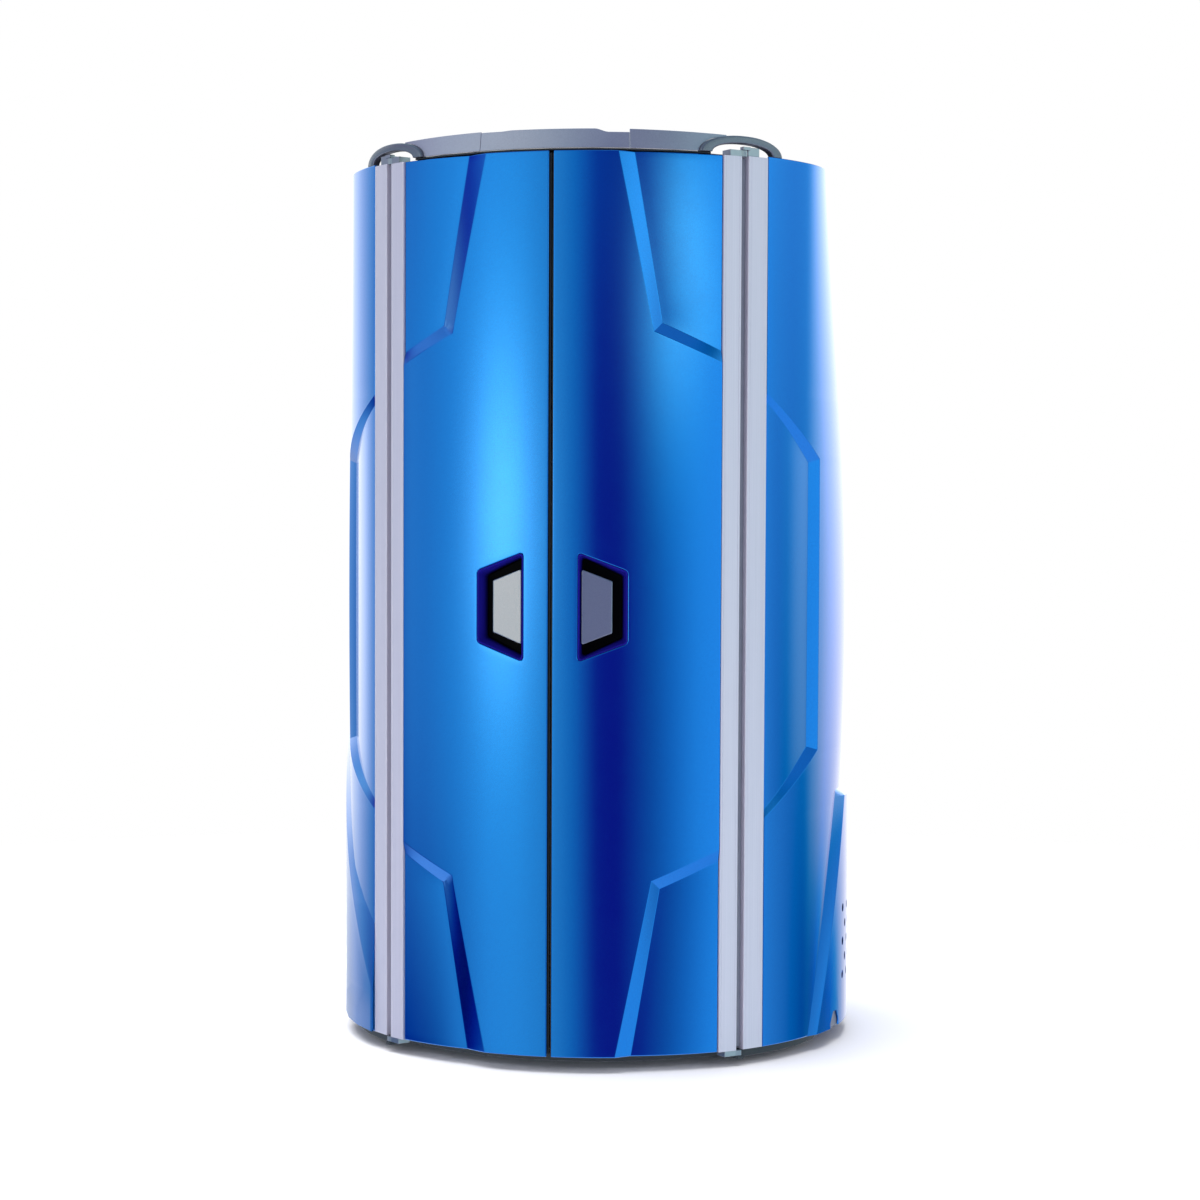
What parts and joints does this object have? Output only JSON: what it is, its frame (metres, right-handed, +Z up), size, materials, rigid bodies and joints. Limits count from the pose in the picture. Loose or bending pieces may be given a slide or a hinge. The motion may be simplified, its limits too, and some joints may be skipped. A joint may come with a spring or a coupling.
{
  "type": "vertical tanning booth",
  "caption": "Round stand-up tanning cabin: curved blue double doors with pulls, aluminium hinge posts, lamp banks behind clear shields, roof exhaust fan and inside control panel.",
  "frame": {"origin": "on the floor, under the axis of the round cabin", "axes": "+Z up along the cabin's axis, -Y out of the front between the doors, +X to the right as seen from the front"},
  "size_m": [1.3438, 1.3265, 2.294],
  "materials": {
    "blue_skin": "metallic blue gloss",
    "navy_cup": "dark blue moulded",
    "aluminium_profile": "satin anodised",
    "grip_silver": "silver painted",
    "roof_grey": "metallic grey",
    "arch_grey": "dark metallic grey",
    "hinge_steel": "zinc plated",
    "dark_steel": "powder coated",
    "white_steel": "powder coated",
    "floor_grey": "moulded, textured",
    "reflector": "bright aluminium sheet",
    "lamp_white": "phosphor coated tubes in white holders",
    "acrylic": "clear acrylic",
    "black_plastic": "moulded",
    "black_glass": "dark display window",
    "foot_rubber": "moulded",
    "button_red": "moulded",
    "button_green": "moulded",
    "button_white": "moulded"
  },
  "bodies": {
    "cabin": {"base_pan": "dark_steel", "floor_platform": "floor_grey", "foot_front_right": "foot_rubber", "foot_front_left": "foot_rubber", "foot_rear_right": "foot_rubber", "foot_rear_left": "foot_rubber", "hinge_post_right": "aluminium_profile", "hinge_post_left": "aluminium_profile", "service_column_right": "white_steel", "service_column_left": "white_steel", "side_panel_right": "blue_skin", "side_panel_left": "blue_skin", "rear_skirt_right": "blue_skin", "rear_skirt_left": "blue_skin", "rear_cover": "blue_skin", "power_gland": "black_plastic", "roof_lid": "dark_steel", "roof_fascia_centre": "roof_grey", "roof_fascia_right": "roof_grey", "roof_fascia_left": "roof_grey", "hinge_arch_right": "arch_grey", "hinge_arch_left": "arch_grey", "ceiling_plate": "white_steel", "ceiling_grille": "aluminium_profile", "fan_housing": "black_plastic", "fan_guard": "aluminium_profile", "side_reflector_right": "reflector", "side_reflector_left": "reflector", "side_lamps_right": "lamp_white", "side_lamps_left": "lamp_white", "side_shield_right": "acrylic", "side_shield_left": "acrylic", "rear_reflector": "reflector", "rear_lamps": "lamp_white", "rear_shield": "acrylic", "ballast_tray": "dark_steel", "control_panel": "black_plastic", "display_window": "black_glass", "top_hinge_bracket_right": "hinge_steel", "top_hinge_bracket_left": "hinge_steel", "bottom_hinge_bracket_right": "hinge_steel", "bottom_hinge_bracket_left": "hinge_steel"},
    "right_door": {"door_skin_right": "blue_skin", "handle_cup_right": "navy_cup", "grip_plate_right": "grip_silver", "door_edge_profile_right": "aluminium_profile", "door_tray_right": "white_steel", "door_lamps_right": "lamp_white", "door_shield_right": "acrylic"},
    "left_door": {"door_skin_left": "blue_skin", "handle_cup_left": "navy_cup", "grip_plate_left": "grip_silver", "door_edge_profile_left": "aluminium_profile", "door_tray_left": "white_steel", "door_lamps_left": "lamp_white", "door_shield_left": "acrylic"},
    "fan_rotor": {"fan_rotor": "black_plastic"},
    "stop_button": {"stop_button": "button_red"},
    "fan_button": {"fan_button": "button_white"},
    "start_button": {"start_button": "button_green"}
  },
  "joints": [
    {"name": "right_door_hinge", "type": "hinge", "parent": "cabin", "child": "right_door", "pos_m": [0.44585, -0.48528, 1.14], "axis": [0, 0, 1], "range_deg": [0, 100]},
    {"name": "left_door_hinge", "type": "hinge", "parent": "cabin", "child": "left_door", "pos_m": [-0.44585, -0.48528, 1.14], "axis": [0, 0, -1], "range_deg": [0, 100]},
    {"name": "fan_spin", "type": "hinge", "parent": "cabin", "child": "fan_rotor", "pos_m": [0, 0, 2.21], "axis": [0, 0, 1], "continuous": true},
    {"name": "stop_press", "type": "slide", "parent": "cabin", "child": "stop_button", "axis": [0.891, 0.454, 0], "range_m": [0, 0.0025], "stiffness_N_per_m": 400},
    {"name": "fan_press", "type": "slide", "parent": "cabin", "child": "fan_button", "axis": [0.891, 0.454, 0], "range_m": [0, 0.0025], "stiffness_N_per_m": 400},
    {"name": "start_press", "type": "slide", "parent": "cabin", "child": "start_button", "axis": [0.891, 0.454, 0], "range_m": [0, 0.0025], "stiffness_N_per_m": 400}
  ]
}
